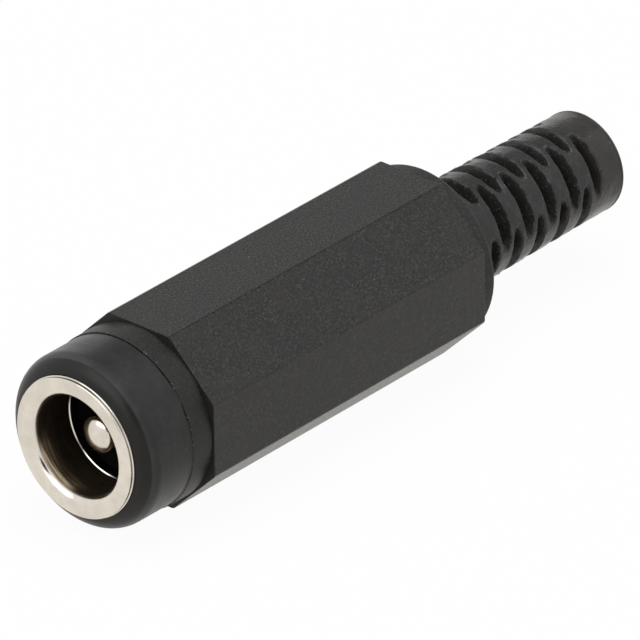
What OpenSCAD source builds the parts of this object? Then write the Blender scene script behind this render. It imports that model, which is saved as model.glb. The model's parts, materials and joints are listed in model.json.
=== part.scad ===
// In-line DC power socket for a 5.5 mm barrel plug: an octagonal screw-on cover with a slotted bend relief,
// and a round nose that carries the plated mouth bush, the centre pin and the solder tags.
// Lengths along the socket are counted from the mouth's front face towards the cable end.

/* [Mouth bush] */
// Bore that takes the plug's barrel
mouth_bore_d = 5.7; // [5.6:0.05:6]
// Rounding of the bore's front lip
lip_round = 0.36; // [0.1:0.02:0.5]
// Length of the plain bore behind the front face
lip_len = 0.7; // [0.5:0.05:1]
// Depth of the turned relief behind the lip
bore_relief = 0.15; // [0.1:0.01:0.25]
// Length of the narrower tail at the bush's rear end
tail_len = 0.6; // [0.3:0.05:0.9]
// Step inwards from the relief to the tail
tail_step = 0.05; // [0.02:0.01:0.15]
// Outside diameter of the front flange
flange_d = 8; // [7.6:0.1:8.6]
// Thickness of the front flange
flange_t = 0.8; // [0.6:0.05:1.2]
// How far the flange stands out of the nose
flange_proud = 0.3; // [0.1:0.05:0.5]
// Rounding of the flange's outer edge
flange_edge = 0.15; // [0.05:0.01:0.25]
// Wall of the bush's tube
bush_wall = 0.5; // [0.3:0.05:0.6]
// Length of the bush
bush_len = 3.6; // [3:0.1:4.5]

/* [Nose] */
// Diameter of the nose
nose_d = 9.88; // [9:0.02:11]
// Length of the nose in front of the seam
nose_len = 3.4; // [2.6:0.1:5]
// Rounding of the nose's front edge
nose_round = 1.1; // [0.4:0.05:1.3]
// Room between the plug's bore and the inner cavity's wall
cavity_room = 0.2; // [0.1:0.05:0.4]
// Wall of the threaded boss around the cavity
boss_wall = 1.05; // [0.8:0.05:1.3]
// Length of the threaded boss
boss_len = 7.3; // [6:0.1:9]
// Thickness of the floor that holds the pin
floor_t = 1.2; // [0.9:0.1:2]

/* [Centre pin] */
// Diameter of the pin
pin_d = 2; // [1.8:0.05:2.6]
// How far the pin's tip lies behind the mouth's face
pin_recess = 1.5; // [1:0.1:2.5]
// Radius of the shallow dome on the pin's tip
pin_dome_r = 1.6; // [1.2:0.1:3]
// Rounding of the edge around the dome
pin_edge = 0.3; // [0.1:0.05:0.5]
// Diameter of the shank through the floor
shank_d = 1.4; // [1:0.05:1.7]
// Diameter of the riveted rear head
rivet_d = 2.2; // [1.9:0.05:2.6]
// Thickness of the riveted rear head
rivet_t = 0.5; // [0.3:0.05:0.8]

/* [Grip] */
// Distance across the octagon's flats
grip_af = 10.2; // [9.6:0.1:12]
// Length of the octagon
grip_len = 21.55; // [19:0.05:26]
// How far the octagon's long edges are rounded off
edge_break = 0.03; // [0.01:0.01:0.1]
// Diameter of the round front collar
collar_d = 10; // [9.2:0.05:10.2]
// Length of the round front collar
collar_len = 1.48; // [1:0.02:3]
// Open seam between the nose and the collar
seam_gap = 0.02; // [0.01:0.01:0.15]
// Chamfer on the nose's edge of the seam
seam_edge = 0.06; // [0.03:0.01:0.15]
// Chamfer on the collar's edge of the seam
collar_edge = 0.03; // [0.02:0.01:0.1]
// Step inwards from the thread bore to the cover's inner room
room_step = 0.25; // [0.1:0.05:0.5]
// Length of the thread bore behind the boss's end
thread_runout = 1; // [0.5:0.1:2]
// Wall between the inner room's end and the shoulder
room_end_wall = 2.2; // [1:0.1:3]

/* [Bend relief] */
// Diameter of the shoulder behind the octagon
shoulder_d = 10; // [8.5:0.05:10.2]
// Length of the shoulder
shoulder_len = 1.1; // [0.6:0.05:1.5]
// Rounding of the shoulder's edge
shoulder_round = 0.4; // [0.1:0.05:0.5]
// Diameter at the root
relief_root_d = 6.24; // [6:0.02:7.5]
// Diameter at the tip
relief_tip_d = 5.88; // [5.6:0.02:7]
// Length from the shoulder to the tip
relief_len = 13.05; // [10:0.05:18]
// Rounding of the tip's edge
tip_round = 0.2; // [0.1:0.05:0.5]
// Cable entry bore
cable_bore_d = 4; // [3.6:0.1:4.6]
// Chamfer at the cable entry's rim
cable_edge = 0.15; // [0.05:0.05:0.3]
// Width of a slot's flat floor along the socket
slot_floor_w = 0.3; // [0.2:0.05:0.5]
// Slope of a slot's walls, so that it widens outwards and runs out in narrow ends
slot_slope = 24; // [10:1:30]
// Distance from one row of slots to the next
slot_pitch = 0.965; // [0.9:0.005:1.3]
// Wall left between the cable bore and a slot's floor
slot_floor_wall = 0.45; // [0.3:0.01:0.6]
// Plain length between the shoulder and the first row
slot_lead = 1.73; // [0.5:0.01:2]
// Least plain length left at the tip
tip_plain = 1.5; // [1:0.1:3]
// Turn of the first row's slots, up from the level of the axis
slot_turn = -24; // [-60:1:60]

/* [Contacts] */
// Thickness of the solder tags
tag_t = 0.4; // [0.3:0.05:0.5]
// Inner radius of the tags' bends
bend_r = 0.3; // [0.2:0.05:0.5]
// Diameter of the sleeve tag's ring
sleeve_ring_d = 5.8; // [5:0.1:6.4]
// Width of the sleeve tag's strip
sleeve_strip_w = 2.6; // [2:0.1:3.2]
// Length of the clamp's ears along the socket
clamp_len = 2.6; // [1.5:0.1:4]
// Height of the clamp's ears
clamp_h = 3.4; // [2.5:0.1:4.2]
// Free room between the clamp and the end of the inner room
clamp_room = 2.5; // [1:0.1:5]
// Least distance of the clamp from the cover's inner wall
clamp_gap = 0.2; // [0.1:0.05:0.4]
// Room between the insulating washer's rim and the sleeve tag's bend
washer_room = 0.1; // [0.05:0.05:0.3]
// Thickness of the insulating washer
washer_t = 0.5; // [0.3:0.05:1]
// Diameter of the washer's collar, which centres the sleeve tag
washer_collar_d = 3.1; // [2.6:0.05:3.6]
// Diameter of the pin tag's ring
pin_ring_d = 3.4; // [3:0.1:4]
// Width of the pin tag's strip
pin_strip_w = 1.6; // [1.2:0.1:2]
// Length of the pin tag's strip
pin_strip_len = 4.6; // [3:0.1:6]
// Distance of the pin tag's strip from the axis
pin_strip_z = 2.3; // [2:0.1:2.8]
// Solder hole in the pin tag
solder_hole_d = 0.8; // [0.5:0.05:1]
// Thickness of the leaf contact
spring_t = 0.25; // [0.15:0.05:0.3]
// Width of the leaf contact
spring_w = 2; // [1.4:0.1:2.4]
// How far the leaf's crest stands inside the plug's bore
spring_bite = 0.3; // [0.1:0.05:0.4]
// Depth of the leaf's channel in the cavity's wall
channel_depth = 0.3; // [0.2:0.05:0.5]
// Distance of the leaf's free end behind the bush
leaf_lead = 0.6; // [0.3:0.1:1.5]
// Straight length of the leaf in front of the floor
leaf_root = 0.3; // [0.1:0.1:1]
// Distance of the leaf's foot from the washer's collar
foot_gap = 0.3; // [0.1:0.05:0.5]

/* [Fits] */
// Clearance around seated turned pieces
seat_fit = 0.02; // [0.01:0.01:0.04]
// Clearance between the boss's and the cover's thread
thread_fit = 0.05; // [0.03:0.01:0.1]
// Clearance beside the leaf in its channel
channel_fit = 0.1; // [0.05:0.01:0.2]

/* [Hidden] */
$fn = 96;

// Overshoot of a cutting shape past the face that it opens
cut = 1;

// Radii
mouth_r = mouth_bore_d / 2;
relief_r = mouth_r + bore_relief;
tail_r = relief_r - tail_step;
tube_r = relief_r + bush_wall;
flange_r = flange_d / 2;
nose_r = nose_d / 2;
cavity_r = mouth_r + cavity_room;
boss_r = cavity_r + boss_wall;
thread_r = boss_r + thread_fit;
pin_r = pin_d / 2;
shank_r = shank_d / 2;
rivet_r = rivet_d / 2;
collar_r = collar_d / 2;
shoulder_r = shoulder_d / 2;
room_r = thread_r - room_step;
cable_r = cable_bore_d / 2;
root_r = relief_root_d / 2;
tip_r = relief_tip_d / 2;
flats = 8;
octagon_r = grip_af / 2 / cos(180 / flats);

// Stations along the socket
nose_rear = flange_proud + nose_len;
boss_end = nose_rear + boss_len;
floor_at = boss_end - floor_t;
cover_front = nose_rear + seam_gap;
grip_front = cover_front + collar_len;
grip_rear = grip_front + grip_len;
relief_root = grip_rear + shoulder_len;
overall_len = relief_root + relief_len;
thread_end = boss_end + thread_runout;
room_end = grip_rear - room_end_wall;
washer_at = boss_end + tag_t;
pin_tag_at = washer_at + washer_t;
rivet_at = pin_tag_at + tag_t;

// Slots of the bend relief: odd rows are turned half a step against even rows
slots_in_row = 3;
slot_step = 360 / slots_in_row;
slot_floor = cable_r + slot_floor_wall;
slot_w = slot_floor_w + 2 * (root_r - slot_floor) * tan(slot_slope);
slot_span = relief_len - slot_lead - tip_plain - slot_w;
slot_rows = floor(slot_span / slot_pitch) + 1;

// Cable clamp: it spans the cable's bore and lies as low in the room as its width lets it
clamp_in = cable_r;
clamp_half_w = clamp_in + tag_t;
strip_z = sqrt(pow(room_r - clamp_gap, 2) - pow(clamp_half_w, 2));
clamp_end = room_end - clamp_room;
sleeve_bend_z = strip_z - tag_t - bend_r;
washer_r = sleeve_bend_z - washer_room;

// Leaf contact: a straight run in the channel and a bow that dips into the plug's bore
channel_top = cavity_r + channel_depth;
run_z = channel_top - channel_fit - spring_t / 2;
crest_z = mouth_r - spring_bite + spring_t / 2;
leaf_front = bush_len + leaf_lead;
leaf_back = floor_at - leaf_root;
bow_half = (leaf_back - leaf_front) / 2;
bow_dip = run_z - crest_z;
bow_r = (bow_half * bow_half + bow_dip * bow_dip) / (2 * bow_dip);
foot_z = washer_collar_d / 2 + foot_gap;

plastic = "#2b2b2c";
nose_plastic = "#303133";
nickel = "#d8d2c4";
bronze = "#b98a4e";
fibre = "#7a4a2a";

// Moves a piece built from the mouth's face along +X to its place over the resting flat
module at_axis() {
    translate([-overall_len / 2, 0, grip_af / 2]) children();
}

// Turned shape from a half section of [radius, distance from the mouth's face]
module turned() {
    at_axis() rotate([0, 90, 0]) rotate_extrude() children();
}

// Flat sheet profile in [along, up], drawn out to a width about the middle plane
module sheet(width) {
    rotate([90, 0, 0]) linear_extrude(height = width, center = true) children();
}

// Disc of sheet across the axis
module disc(at, d, t) {
    translate([at, 0, 0]) rotate([0, 90, 0]) cylinder(d = d, h = t);
}

// Quarter bend of sheet in the first quadrant
module bend(inner, t) {
    intersection() {
        difference() {
            circle(inner + t);
            circle(inner);
        }
        square(inner + t);
    }
}

// Round corner of a half section, laid into a chamfer of the same size
module round_corner(corner, size, along) {
    translate([corner - size, along]) circle(size);
}

// U-shaped section with rounded bottom corners, its floor at zero
module tub(width, height, corner) {
    translate([-width / 2, corner]) square([width, height - corner]);
    translate([corner - width / 2, 0]) square([width - 2 * corner, corner]);
    for (side = [-1, 1]) {
        translate([side * (width / 2 - corner), corner]) circle(corner);
    }
}

// Cover, outside

module collar_section() {
    polygon([
        [0, cover_front],
        [collar_r - collar_edge, cover_front],
        [collar_r, cover_front + collar_edge],
        [collar_r, grip_front + cut],
        [0, grip_front + cut],
    ]);
}

module octagon_grip() {
    translate([grip_front, 0, 0]) rotate([0, 90, 0]) intersection() {
        rotate([0, 0, 180 / flats]) cylinder(r = octagon_r, h = grip_len, $fn = flats);
        cylinder(r = octagon_r - edge_break, h = grip_len);
    }
}

module shoulder_section() {
    polygon([
        [0, grip_rear - cut],
        [shoulder_r, grip_rear - cut],
        [shoulder_r, relief_root - shoulder_round],
        [shoulder_r - shoulder_round, relief_root],
        [0, relief_root],
    ]);
    round_corner(shoulder_r, shoulder_round, relief_root - shoulder_round);
}

module relief_section() {
    polygon([
        [0, relief_root - cut],
        [root_r, relief_root - cut],
        [root_r, relief_root],
        [tip_r, overall_len - tip_round],
        [tip_r - tip_round, overall_len],
        [0, overall_len],
    ]);
    round_corner(tip_r, tip_round, overall_len - tip_round);
}

// Cover, inside: thread bore, room for the tags, funnel and cable bore
module cover_hollow_section() {
    polygon([
        [0, cover_front - cut],
        [thread_r, cover_front - cut],
        [thread_r, thread_end],
        [room_r, thread_end],
        [room_r, room_end],
        [cable_r, grip_rear],
        [cable_r, overall_len - cable_edge],
        [cable_r + cable_edge + cut, overall_len + cut],
        [0, overall_len + cut],
    ]);
}

// One slot across the relief's +Z side, about its own middle
module slot_cut() {
    rise = max(root_r, tip_r) + cut - slot_floor;
    half_top = slot_floor_w / 2 + rise * tan(slot_slope);
    sheet(2 * (root_r + cut)) polygon([
        [-slot_floor_w / 2, slot_floor],
        [slot_floor_w / 2, slot_floor],
        [half_top, slot_floor + rise],
        [-half_top, slot_floor + rise],
    ]);
}

module relief_slots() {
    for (row = [0 : slot_rows - 1]) {
        middle = relief_root + slot_lead + slot_w / 2 + row * slot_pitch;
        row_turn = 90 - slot_turn + (row % 2) * slot_step / 2;
        for (k = [0 : slots_in_row - 1]) {
            rotate([row_turn + k * slot_step, 0, 0]) translate([middle, 0, 0]) slot_cut();
        }
    }
}

module grip_cover() {
    color(plastic) difference() {
        union() {
            turned() collar_section();
            at_axis() octagon_grip();
            turned() shoulder_section();
            difference() {
                turned() relief_section();
                at_axis() relief_slots();
            }
        }
        turned() cover_hollow_section();
    }
}

// Nose with its threaded boss, closed by the floor

module nose_section() {
    polygon([
        [0, flange_proud],
        [nose_r - nose_round, flange_proud],
        [nose_r, flange_proud + nose_round],
        [nose_r, nose_rear - seam_edge],
        [nose_r - seam_edge, nose_rear],
        [boss_r, nose_rear],
        [boss_r, boss_end],
        [0, boss_end],
    ]);
    round_corner(nose_r, nose_round, flange_proud + nose_round);
}

module nose_hollow_section() {
    polygon([
        [0, -cut],
        [flange_r + seat_fit, -cut],
        [flange_r + seat_fit, flange_t],
        [tube_r + seat_fit, flange_t],
        [tube_r + seat_fit, bush_len],
        [cavity_r, bush_len],
        [cavity_r, floor_at],
        [shank_r + seat_fit, floor_at],
        [shank_r + seat_fit, boss_end + cut],
        [0, boss_end + cut],
    ]);
}

// Channel for the leaf along the cavity and through the floor, and the pocket for its foot
module leaf_channel() {
    width = spring_w + 2 * channel_fit;
    slot_z = run_z - spring_t / 2 - channel_fit;
    translate([bush_len, -width / 2, 0]) cube([floor_at - bush_len, width, channel_top]);
    translate([bush_len, -width / 2, slot_z]) cube([boss_end - bush_len + cut, width, channel_top - slot_z]);
    translate([boss_end - spring_t, -width / 2, foot_z - channel_fit])
        cube([spring_t + cut, width, channel_top - foot_z + channel_fit]);
}

module nose_body() {
    color(nose_plastic) difference() {
        turned() nose_section();
        turned() nose_hollow_section();
        at_axis() leaf_channel();
    }
}

// Mouth bush
module mouth_bush() {
    color(nickel) turned() {
        polygon([
            [mouth_r, lip_round],
            [mouth_r + lip_round, 0],
            [flange_r - flange_edge, 0],
            [flange_r, flange_edge],
            [flange_r, flange_t],
            [tube_r, flange_t],
            [tube_r, bush_len],
            [tail_r, bush_len],
            [tail_r, bush_len - tail_len],
            [relief_r, bush_len - tail_len - tail_step],
            [relief_r, lip_len + bore_relief],
            [mouth_r, lip_len],
        ]);
        translate([mouth_r + lip_round, lip_round]) circle(lip_round);
        round_corner(flange_r, flange_edge, flange_edge);
    }
}

// Centre pin: a shallow dome that runs smoothly into its rounded edge, then the shank and the riveted head
module centre_pin() {
    rivet_edge = rivet_t / 2;
    dome_at = pin_recess + pin_dome_r;
    edge_at = pin_r - pin_edge;
    edge_rise = sqrt(pow(pin_dome_r - pin_edge, 2) - pow(edge_at, 2));
    color(nickel) turned() {
        intersection() {
            translate([0, dome_at]) circle(pin_dome_r);
            polygon([[0, dome_at], [0, dome_at - 2 * edge_rise], [2 * edge_at, dome_at - 2 * edge_rise]]);
        }
        translate([edge_at, dome_at - edge_rise]) circle(pin_edge);
        polygon([
            [0, dome_at - edge_rise],
            [pin_r, dome_at - edge_rise],
            [pin_r, floor_at],
            [shank_r, floor_at],
            [shank_r, rivet_at],
            [rivet_r, rivet_at],
            [rivet_r, rivet_at + rivet_t - rivet_edge],
            [rivet_r - rivet_edge, rivet_at + rivet_t],
            [0, rivet_at + rivet_t],
        ]);
    }
}

// Leaf contact: bow, straight run through the floor and foot under the sleeve tag
module sleeve_spring() {
    bow_mid = (leaf_front + leaf_back) / 2;
    color(bronze) at_axis() sheet(spring_w) {
        intersection() {
            translate([bow_mid, crest_z + bow_r]) difference() {
                circle(bow_r + spring_t / 2);
                circle(bow_r - spring_t / 2);
            }
            translate([leaf_front, 0]) square([leaf_back - leaf_front, channel_top - channel_fit]);
        }
        translate([leaf_back, run_z - spring_t / 2]) square([boss_end - leaf_back, spring_t]);
        translate([boss_end - spring_t, foot_z]) square([spring_t, run_z + spring_t / 2 - foot_z]);
    }
}

// Sleeve tag: ring behind the floor, and a bent strip that runs on as the floor of the cable clamp
module sleeve_tag() {
    bend_x = boss_end + tag_t + bend_r;
    hole_d = washer_collar_d + 2 * seat_fit;
    color(nickel) at_axis() difference() {
        union() {
            disc(boss_end, sleeve_ring_d, tag_t);
            sheet(sleeve_strip_w) {
                translate([boss_end, -sleeve_bend_z]) square([tag_t, sleeve_bend_z]);
                translate([bend_x, -sleeve_bend_z]) rotate(180) bend(bend_r, tag_t);
                translate([bend_x, -strip_z]) square([clamp_end - bend_x, tag_t]);
            }
            translate([clamp_end - clamp_len, 0, -strip_z]) cable_clamp();
        }
        disc(boss_end - cut, hole_d, tag_t + 2 * cut);
    }
}

// Open clamp for the cable, its floor at zero
module cable_clamp() {
    rotate([90, 0, 90]) linear_extrude(height = clamp_len) difference() {
        tub(2 * clamp_half_w, clamp_h, bend_r + tag_t);
        translate([0, tag_t]) tub(2 * clamp_in, clamp_h, bend_r);
    }
}

// Washer between the two tags, with the collar that centres the sleeve tag
module insulating_washer() {
    color(fibre) turned() polygon([
        [shank_r + seat_fit, boss_end + seat_fit],
        [washer_collar_d / 2, boss_end + seat_fit],
        [washer_collar_d / 2, washer_at],
        [washer_r, washer_at],
        [washer_r, pin_tag_at],
        [shank_r + seat_fit, pin_tag_at],
    ]);
}

// Pin tag: ring under the riveted head and bent strip with its solder hole
module pin_tag() {
    bend_x = pin_tag_at + tag_t + bend_r;
    bend_z = pin_strip_z - tag_t - bend_r;
    strip_end = bend_x + pin_strip_len;
    hole_x = strip_end - pin_strip_w / 2;
    color(nickel) at_axis() difference() {
        union() {
            disc(pin_tag_at, pin_ring_d, tag_t);
            sheet(pin_strip_w) {
                translate([pin_tag_at, 0]) square([tag_t, bend_z]);
                translate([bend_x, bend_z]) rotate(90) bend(bend_r, tag_t);
                translate([bend_x, pin_strip_z - tag_t]) square([pin_strip_len, tag_t]);
            }
        }
        disc(pin_tag_at - cut, shank_d + 2 * seat_fit, tag_t + 2 * cut);
        translate([hole_x, 0, pin_strip_z - tag_t - cut]) cylinder(d = solder_hole_d, h = tag_t + 2 * cut);
    }
}

grip_cover();
nose_body();
mouth_bush();
centre_pin();
sleeve_spring();
sleeve_tag();
insulating_washer();
pin_tag();
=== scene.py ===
"""Finishes, studio stage and camera for the in-line DC power socket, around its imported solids."""

import json
import math

import bpy
from mathutils import Matrix, Vector, noise as space_noise


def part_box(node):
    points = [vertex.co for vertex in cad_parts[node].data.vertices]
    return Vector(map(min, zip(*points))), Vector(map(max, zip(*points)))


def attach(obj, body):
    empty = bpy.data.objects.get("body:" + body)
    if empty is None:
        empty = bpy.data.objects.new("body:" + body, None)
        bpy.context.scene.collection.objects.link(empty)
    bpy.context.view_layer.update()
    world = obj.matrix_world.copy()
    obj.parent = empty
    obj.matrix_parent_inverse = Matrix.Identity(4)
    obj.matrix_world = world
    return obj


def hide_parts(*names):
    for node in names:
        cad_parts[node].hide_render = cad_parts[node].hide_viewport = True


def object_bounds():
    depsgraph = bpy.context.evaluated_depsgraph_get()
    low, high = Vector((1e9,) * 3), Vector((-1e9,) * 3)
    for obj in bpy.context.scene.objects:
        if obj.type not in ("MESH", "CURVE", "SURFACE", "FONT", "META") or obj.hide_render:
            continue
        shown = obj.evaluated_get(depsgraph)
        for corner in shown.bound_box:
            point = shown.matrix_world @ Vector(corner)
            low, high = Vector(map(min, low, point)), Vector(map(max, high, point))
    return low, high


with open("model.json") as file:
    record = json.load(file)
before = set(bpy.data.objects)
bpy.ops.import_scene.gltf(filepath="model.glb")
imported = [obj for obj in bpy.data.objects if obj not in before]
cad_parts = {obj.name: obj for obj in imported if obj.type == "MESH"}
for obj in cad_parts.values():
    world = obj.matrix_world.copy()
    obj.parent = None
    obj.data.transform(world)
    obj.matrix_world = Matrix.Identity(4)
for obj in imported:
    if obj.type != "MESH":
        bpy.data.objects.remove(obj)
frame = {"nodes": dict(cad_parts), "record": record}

bl_info = {
    "name": "In-line DC Socket",
    "version": (1, 0, 0),
    "blender": (4, 5, 0),
    "location": "View3D > Sidebar > Socket",
    "description": "Finishes, stage and camera for an in-line DC power socket",
    "category": "Object",
}

CAD_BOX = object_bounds()
MM = 0.001
WELD = 0.0005 * MM
FLAT_ANGLE = math.radians(0.2)


def mount(name):
    """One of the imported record's mounts."""
    return next(m for m in frame["record"]["mounts"] if m["name"] == name)


# Frame measures: the socket's axis and the middle of the mouth's front face
AXIS_Z = mount("centre_pin")["pos_m"][2]
MOUTH = Vector((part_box("mouth_bush")[0].x, 0.0, AXIS_Z))


# Kinds of setting


def length(name, description, millimetres):
    """A length, written here in millimetres."""
    return bpy.props.FloatProperty(
        name=name, description=description, default=millimetres * MM,
        subtype="DISTANCE", unit="LENGTH", precision=6)


def angle(name, description, degrees):
    """An angle, written here in degrees."""
    return bpy.props.FloatProperty(
        name=name, description=description, default=math.radians(degrees),
        subtype="ANGLE", unit="ROTATION")


def hue(name, description, *channels):
    """A colour."""
    return bpy.props.FloatVectorProperty(
        name=name, description=description, default=channels, subtype="COLOR", size=3)


def heading(name, description, *steps):
    """A direction in the frame."""
    return bpy.props.FloatVectorProperty(
        name=name, description=description, default=steps, subtype="DIRECTION", size=3)


def power(name, description, watts):
    """The power of a lamp."""
    return bpy.props.FloatProperty(name=name, description=description, default=watts, unit="POWER")


def factor(name, description, value):
    """A share or weight."""
    return bpy.props.FloatProperty(name=name, description=description, default=value, subtype="FACTOR")


def number(name, description, value):
    """A number without a unit."""
    return bpy.props.FloatProperty(name=name, description=description, default=value)


def count(name, description, value, least, most):
    """A whole number between two limits."""
    return bpy.props.IntProperty(name=name, description=description, default=value, min=least, max=most)


# Settings


class PhotoView(bpy.types.PropertyGroup):
    """Where the camera stands, as fitted to the picture."""

    azimuth: angle("Azimuth", "Turn round the socket, 0 looks along +Y", -48.382)
    elevation: angle("Elevation", "Height of the view above the horizon", 28.942)
    roll: angle("Roll", "Turn of the picture about the line of sight", -0.958)
    distance: length("Distance", "From the mouth's face to the camera's plane", 574.254)
    pixels_per_mm: number("Pixels per mm", "Picture scale at the mouth's face", 19.403)
    mouth_pixel: bpy.props.FloatVectorProperty(
        name="Mouth pixel", description="Where the mouth's middle lies in the picture",
        size=2, default=(73.257, 448.913))
    picture_side: number("Picture side", "Width and height of the picture in pixels", 640.0)


class StageSettings(bpy.types.PropertyGroup):
    """Floor, sky, lamps and cards."""

    floor_colour: hue("Floor", "Colour of the pale floor", 0.6, 0.597, 0.587)
    floor_size: length("Floor size", "Side of the square floor", 1600.0)
    floor_white: factor(
        "Floor white", "Share of plain white that the camera and reflections see in the floor", 0.96)
    floor_glow: hue("Floor glow", "Colour of the floor in reflections", 1.0, 0.985, 0.945)
    sky_strength: number("Sky", "Strength of the even white surroundings", 0.35)
    lamp_distance: length("Lamp distance", "From the socket to the lamps and the grey flag", 600.0)
    top_power: power("Top lamp", "Power of the lamp overhead", 4.2)
    top_size: length("Top size", "Side of the lamp overhead", 500.0)
    top_direction: heading("Top direction", "From the socket towards the lamp overhead", 0.1, 0.0, 1.0)
    key_power: power("Key lamp", "Power of the lamp on the mouth's side", 1.2)
    key_size: length("Key size", "Side of the key lamp", 500.0)
    key_direction: heading("Key direction", "From the socket towards the key lamp", -0.7, 0.1, 0.6)
    card_angle: angle("Dark card", "Half angle of the dark card that the gloss sees behind the camera", 14.0)
    flag_direction: heading(
        "Flag direction", "From the socket towards the grey flag on the cable's side", 0.654, 0.35, 0.66)
    flag_angle: angle("Grey flag", "Half angle of the flag that the gloss sees on the cable's side", 24.0)
    flag_shade: factor("Flag shade", "Brightness of the grey flag", 0.3)


class FinishSettings(bpy.types.PropertyGroup):
    """Colours of the pieces, with their painted shade and highlights, and the sizes of their grain and dust.
    """

    grip_colour: hue("Grip plastic", "Colour of the cover's moulding", 0.019, 0.0187, 0.0178)
    grain_colour: hue("Grain", "Colour of the palest grains in the cover's moulding", 0.052, 0.05, 0.0435)
    olive_colour: hue("Olive patches", "Colour of the faint warm patches on the cover", 0.023, 0.0222, 0.017)
    bluish_colour: hue(
        "Bluish patches", "Colour of the faint cool patches on the cover", 0.0185, 0.0195, 0.0215)
    nose_colour: hue("Nose plastic", "Colour of the nose's moulding", 0.0165, 0.0168, 0.0173)
    mottle_colour: hue("Nose mottles", "Colour of the faint warm mottles on the nose", 0.0265, 0.0258, 0.0232)
    # Painted shade: the nose next to the metal ring is painted darker, standing in for its weak reflection
    # there
    ring_shadow_colour: hue(
        "Round the ring", "Colour of the soiled nose next to the metal ring", 0.0055, 0.005, 0.0042)
    nickel_colour: hue("Nickel", "Colour of the bright plating", 0.715, 0.67, 0.602)
    tarnish_colour: hue("Tarnish", "Colour of the tarnished bore", 0.85, 0.66, 0.45)
    # Painted light: the bore is painted as lit on the side towards this direction, and painted nearly black
    # as shade elsewhere
    painted_lit_side_direction: heading(
        "Stained side", "From the axis towards the most tarnished side of the bore", 0.0, 0.67, -0.743)
    bronze_colour: hue("Bronze", "Colour of the spring strip", 0.55, 0.33, 0.14)
    fibre_colour: hue("Fibre", "Colour of the insulating washer", 0.2, 0.09, 0.04)
    # Partly wear, partly a painted highlight on the relief's lips
    wear_and_highlight_colour: hue("Wear", "Colour of the bend relief's worn edges", 0.12, 0.113, 0.097)
    bloom_colour: hue("Bloom", "Colour of the pale bloom on the bend relief", 0.031, 0.034, 0.039)
    crumb_colour: hue("Crumbs", "Colour of the dirt lodged in the slots", 0.09, 0.085, 0.072)
    tip_colour: hue("Relief tip", "Colour of the bend relief's rubbed tip", 0.033, 0.031, 0.028)
    # Also painted shade: the slots are tinted brown and painted darker the deeper they are
    slot_colour: hue("Slots", "Colour of the bend relief's slots inside", 0.019, 0.0172, 0.0132)
    dust_colour: hue("Dust", "Colour of the pale dust specks", 0.16, 0.155, 0.145)
    seam: length("Seam", "From the mouth's face to the seam between nose and cover", 3.73)
    grain_size: length("Grain size", "Size of the moulding's fine grain", 0.12)
    grain_depth: length("Grain depth", "Depth of the moulding's fine grain", 0.01)
    dust_size: length("Dust size", "Radius of a pale dust speck", 0.03)
    dust_spacing: length("Dust spacing", "Mean distance between the places where dust may lie", 0.9)
    grip_gloss: factor("Grip gloss", "Strength of the reflections on the cover's moulding", 0.27)
    nose_gloss: factor("Nose gloss", "Strength of the reflections on the nose's moulding", 0.25)


class CoverSettings(bpy.types.PropertyGroup):
    """Octagon of the cover and its softened ends."""

    grip_front: length("Octagon from", "From the mouth's face to the octagon's front end", 5.2)
    grip_rear: length("Octagon to", "From the mouth's face to the octagon's rear end", 26.75)
    edge_round: length("Edge rounding", "Width of the rounding on the octagon's ends", 0.05)
    edge_steps: count("Rounding steps", "Faces across the rounding", 2, 1, 4)
    smooth_angle: angle("Smooth up to", "Greatest angle that is shaded as one surface", 40.0)


class ReliefSettings(bpy.types.PropertyGroup):
    """Slotted bend relief, with worn edges."""

    root: length("Root", "From the mouth's face to the shoulder's rear face", 27.85)
    root_radius: length("Root radius", "Radius at the shoulder", 3.12)
    tip_radius: length("Tip radius", "Radius at the tip", 2.94)
    tip_round: length("Tip rounding", "Rounding of the tip's edge", 0.2)
    entry_edge: length("Entry chamfer", "Chamfer at the cable entry's rim", 0.15)
    slot_lead: length("First slot", "From the root to the middle of the first row of slots", 2.178)
    slot_pitch: length("Slot pitch", "Distance from one row of slots to the next", 0.965)
    rows: count("Rows", "Rows of slots", 10, 1, 20)
    slots_in_row: count("Slots in a row", "Slots round the relief", 3, 2, 4)
    slot_turn: angle("Slot turn", "Turn of the first row's slots, up from the level of the axis", -27.0)
    slot_reach: angle("Slot reach", "Half angle of a slot round the axis", 40.5)
    slot_fullness: count("Slot fullness", "Power by which a slot's ends rise", 4, 2, 8)
    slot_floor: length("Slot floor", "Distance of a slot's floor from the axis", 2.2)
    slot_floor_width: length("Floor width", "Width of a slot's floor along the socket", 0.3)
    slot_slope: angle("Wall slope", "Slope of a slot's walls", 18.5)
    wear: length("Wear", "How far the slots' edges are worn round", 0.12)
    unevenness: length("Unevenness", "Depth of the shallow dents of the soft moulding", 0.04)
    dent_size: length("Dent size", "Size of the shallow dents", 0.7)
    fine_dent_size: length("Fine dent size", "Size of the finer dents between them", 0.175)
    fine_dents: factor("Fine dents", "Depth of the finer dents as a share of the others", 0.5)
    burr: length("Burr", "How far the rims of the slots stand out in places", 0.07)
    burr_size: length("Burr size", "Length of one burr", 0.45)
    raggedness: length("Raggedness", "How much deeper or shallower a slot is cut from place to place", 0.09)
    ragged_size: length("Ragged size", "Length over which a slot's depth changes", 0.5)
    steps_along: count("Steps along", "Faces along the relief", 290, 40, 400)
    steps_round: count("Steps round", "Faces round the relief", 260, 60, 400)


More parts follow.
